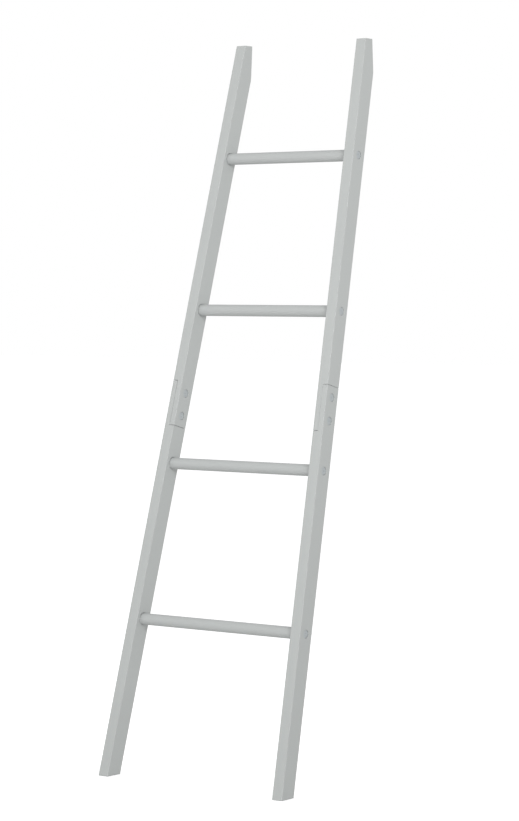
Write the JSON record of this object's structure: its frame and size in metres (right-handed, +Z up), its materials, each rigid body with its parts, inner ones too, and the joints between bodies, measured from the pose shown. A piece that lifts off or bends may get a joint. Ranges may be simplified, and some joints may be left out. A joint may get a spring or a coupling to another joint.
{
  "type": "quilt ladder",
  "caption": "Leaning blanket ladder: tapering half-lapped rails, round dowel rungs and recessed bolts, for draping quilts against a wall.",
  "frame": {"origin": "on the floor, under the middle of the bounding box, between the feet and the wall", "axes": "+Z up; +Y towards the wall that the top rests on; +X to the right of someone facing the ladder"},
  "size_m": [0.4844, 0.4168, 1.582],
  "materials": {
    "rail_paint": "satin paint, pale cool grey, on planed wood",
    "rung_paint": "satin paint, pale cool grey, on round dowel",
    "bolt_coat": "matt pale grey coat on steel",
    "nut_coat": "matt pale grey coat on steel",
    "insert_zinc": "dull zinc plate"
  },
  "bodies": {
    "root": {"left_lower_rail": "rail_paint", "left_upper_rail": "rail_paint", "right_lower_rail": "rail_paint", "right_upper_rail": "rail_paint", "rung_1": "rung_paint", "rung_2": "rung_paint", "rung_3": "rung_paint", "rung_4": "rung_paint", "left_rung_bolt_1": "bolt_coat", "left_rung_bolt_2": "bolt_coat", "left_rung_bolt_3": "bolt_coat", "left_rung_bolt_4": "bolt_coat", "left_rung_insert_1": "insert_zinc", "left_rung_insert_2": "insert_zinc", "left_rung_insert_3": "insert_zinc", "left_rung_insert_4": "insert_zinc", "left_lap_bolt_1": "bolt_coat", "left_lap_bolt_2": "bolt_coat", "left_lap_nut_1": "nut_coat", "left_lap_nut_2": "nut_coat", "right_rung_bolt_1": "bolt_coat", "right_rung_bolt_2": "bolt_coat", "right_rung_bolt_3": "bolt_coat", "right_rung_bolt_4": "bolt_coat", "right_rung_insert_1": "insert_zinc", "right_rung_insert_2": "insert_zinc", "right_rung_insert_3": "insert_zinc", "right_rung_insert_4": "insert_zinc", "right_lap_bolt_1": "bolt_coat", "right_lap_bolt_2": "bolt_coat", "right_lap_nut_1": "nut_coat", "right_lap_nut_2": "nut_coat"}
  },
  "joints": []
}
